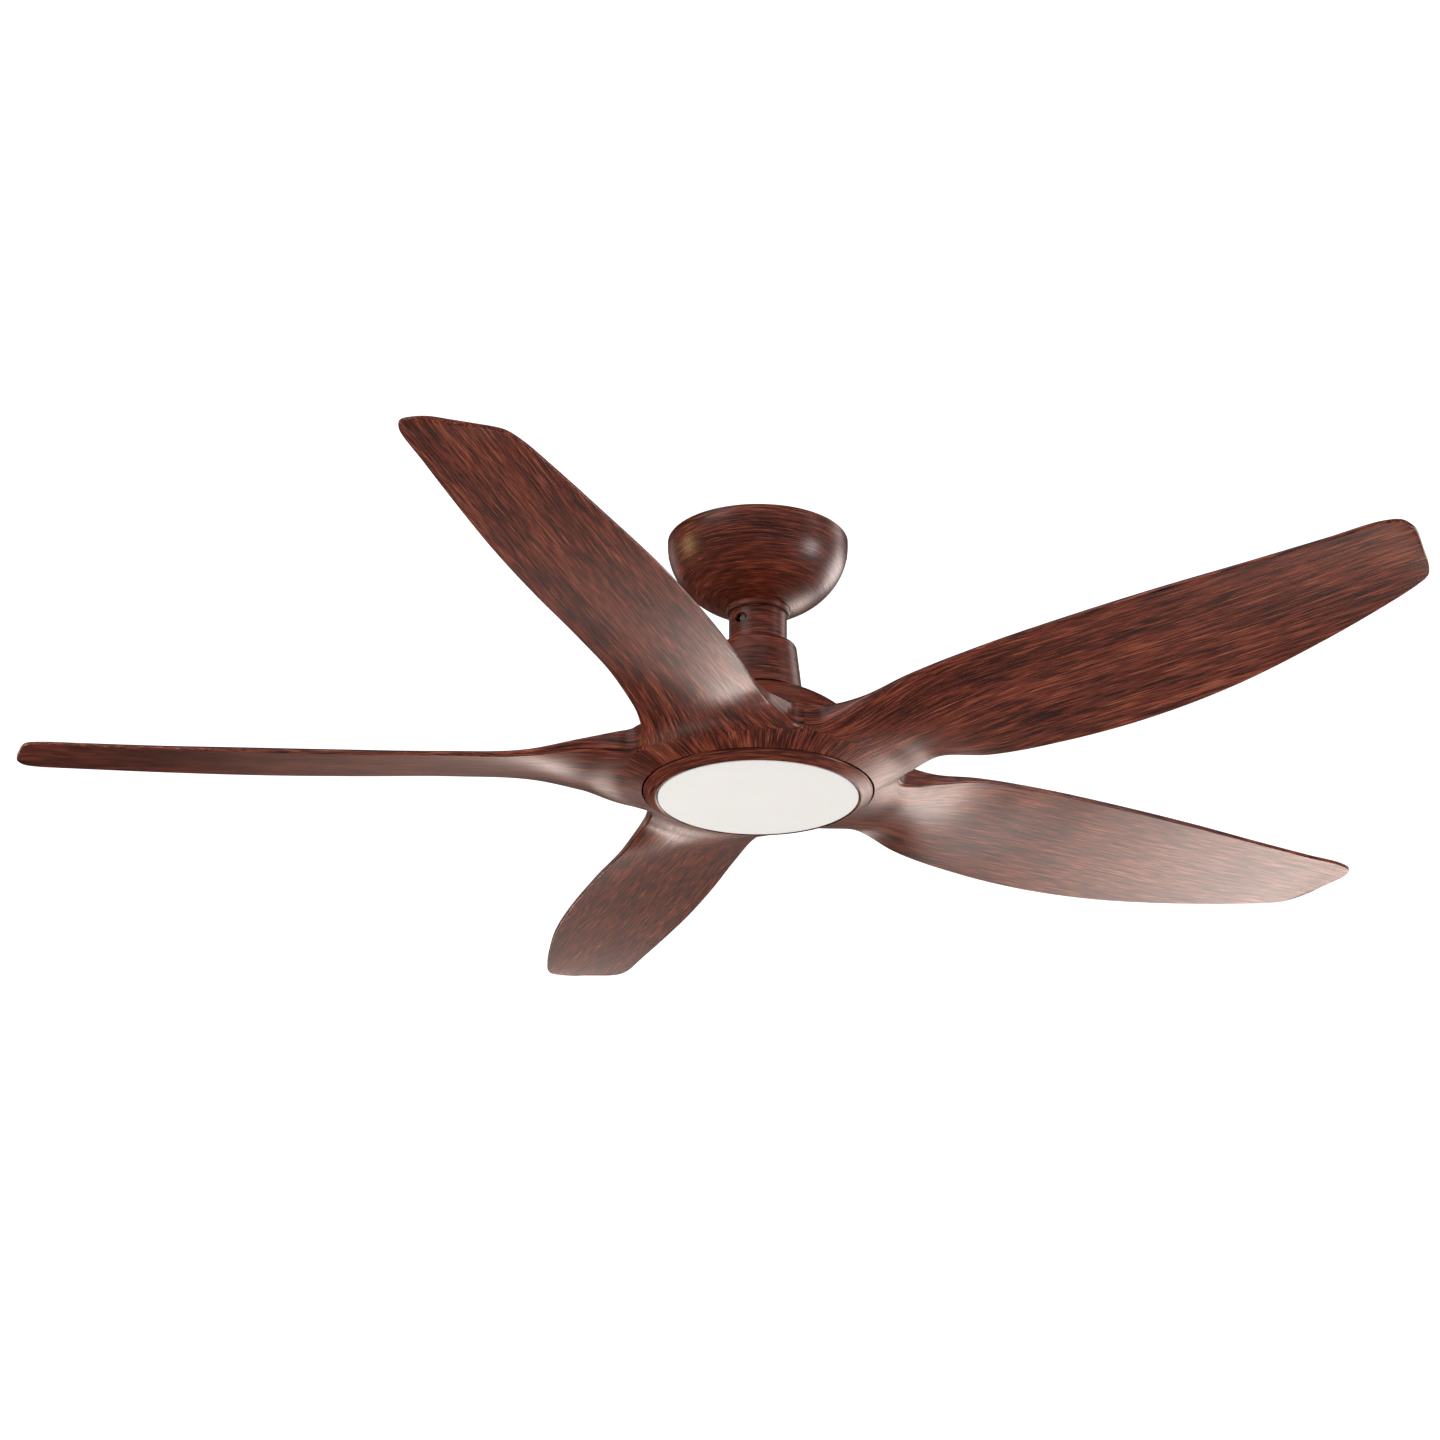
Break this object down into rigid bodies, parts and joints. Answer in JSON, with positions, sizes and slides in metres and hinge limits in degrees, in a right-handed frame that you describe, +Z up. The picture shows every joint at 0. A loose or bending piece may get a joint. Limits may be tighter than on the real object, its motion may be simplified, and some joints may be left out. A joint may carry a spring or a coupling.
{
  "type": "ceiling fan with light",
  "caption": "Close-to-ceiling fan with walnut-grain blades that flow into a round hub with a flush opal light, hung from a bowl canopy on a short rod.",
  "frame": {"origin": "on the fan's axis in the plane of the ceiling, at the middle of the ceiling bracket's top face", "axes": "+Z up along the fan's axis; the ceiling bracket's ears lie along X; the front view looks along +Y"},
  "size_m": [1.2253, 1.2565, 0.2465],
  "materials": {
    "walnut_metal": "pressed metal with a printed dark walnut grain running round it, satin",
    "walnut_blade": "dark red-brown walnut grain running along the blade, satin lacquer",
    "zinc_steel": "zinc plated",
    "dark_steel": "blackened",
    "lamination_steel": "stacked sheets, varnished",
    "cast_aluminium": "as cast",
    "copper_wire": "enamelled copper wire",
    "ferrite": "sintered, matte",
    "black_plastic": "fine moulded texture",
    "white_insulation": "smooth cable jacket",
    "led_board": "white solder mask with yellow emitters",
    "opal_acrylic": "opal, satin outside"
  },
  "bodies": {
    "mount": {"canopy": "walnut_metal", "canopy_trim_ring": "walnut_metal", "neck_sleeve": "walnut_metal", "coupling_cover": "walnut_metal", "light_housing": "walnut_metal", "ceiling_bracket": "zinc_steel", "hanger_pin": "zinc_steel", "clevis_pin": "zinc_steel", "cotter_pin": "zinc_steel", "motor_shaft": "zinc_steel", "light_plate": "zinc_steel", "shaft_nut": "zinc_steel", "light_screw_1": "zinc_steel", "light_screw_2": "zinc_steel", "light_screw_3": "zinc_steel", "canopy_screw_right": "dark_steel", "canopy_screw_left": "dark_steel", "downrod": "dark_steel", "rod_bolt": "dark_steel", "rod_nut": "dark_steel", "yoke_set_screw_1": "dark_steel", "yoke_set_screw_2": "dark_steel", "stator_core": "lamination_steel", "coupling_yoke": "cast_aluminium", "stator_windings": "copper_wire", "receiver_box": "black_plastic", "hanger_ball": "black_plastic", "led_driver": "black_plastic", "wire_loom": "white_insulation", "led_board": "led_board"},
    "rotor": {"motor_top_cover": "walnut_metal", "top_cover_screw_1": "dark_steel", "top_cover_screw_2": "dark_steel", "top_cover_screw_3": "dark_steel", "rotor_upper_shell": "cast_aluminium", "rotor_lower_shell": "cast_aluminium", "magnet_ring": "ferrite", "upper_bearing": "zinc_steel", "lower_bearing": "zinc_steel", "blade_1": "walnut_blade", "blade_2": "walnut_blade", "blade_3": "walnut_blade", "blade_4": "walnut_blade", "blade_5": "walnut_blade", "blade_screw_1a": "dark_steel", "blade_screw_1b": "dark_steel", "blade_screw_2a": "dark_steel", "blade_screw_2b": "dark_steel", "blade_screw_3a": "dark_steel", "blade_screw_3b": "dark_steel", "blade_screw_4a": "dark_steel", "blade_screw_4b": "dark_steel", "blade_screw_5a": "dark_steel", "blade_screw_5b": "dark_steel"},
    "diffuser": {"light_diffuser": "opal_acrylic"}
  },
  "joints": [
    {"name": "rotor_spin", "type": "hinge", "parent": "mount", "child": "rotor", "pos_m": [0, 0, -0.2115], "axis": [0, 0, 1], "continuous": true},
    {"name": "diffuser_twist", "type": "hinge", "parent": "mount", "child": "diffuser", "pos_m": [0, 0, -0.2415], "axis": [0, 0, 1], "range_deg": [-20, 0]}
  ]
}
